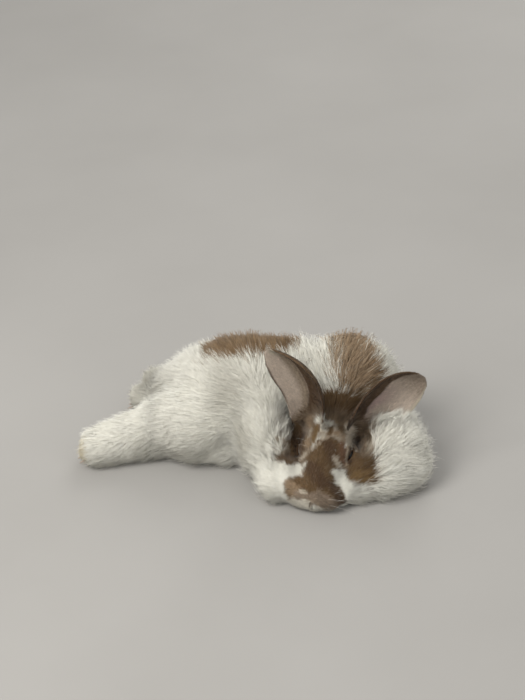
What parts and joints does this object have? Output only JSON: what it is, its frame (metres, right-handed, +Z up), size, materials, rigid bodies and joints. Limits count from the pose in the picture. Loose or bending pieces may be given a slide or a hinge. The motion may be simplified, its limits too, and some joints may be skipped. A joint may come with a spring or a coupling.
{
  "type": "resting long-haired rabbit",
  "caption": "Life-size still rabbit lying on its chest with its hips rolled to one side, chin on the floor, ears standing up and out, white coat with brown markings.",
  "frame": {"origin": "middle of the rabbit's bounding box, on the floor it lies on", "axes": "+X from the hind feet towards the head's left side, -Y the way the face looks, +Z up"},
  "size_m": [0.3584, 0.2212, 0.1535],
  "materials": {
    "fur": "soft white coat with brown markings",
    "ear": "short brown hair outside, pinkish grey skin inside",
    "eye": "wet, glossy, dark brown",
    "claw": "dull horn"
  },
  "bodies": {
    "root": {"chest": "fur", "head": "fur", "neck": "fur", "trunk": "fur", "rump": "fur", "tail": "fur", "thigh_right": "fur", "thigh_left": "fur", "foreleg_right": "fur", "foreleg_left": "fur", "foot_hind_right": "fur", "foot_hind_left": "fur", "ear_right": "ear", "ear_left": "ear", "eye_right": "eye", "eye_left": "eye", "claw_hind_right_1": "claw", "claw_hind_right_2": "claw", "claw_hind_right_3": "claw", "claw_hind_right_4": "claw", "claw_hind_left_1": "claw", "claw_hind_left_2": "claw", "claw_hind_left_3": "claw", "claw_hind_left_4": "claw"}
  },
  "joints": []
}
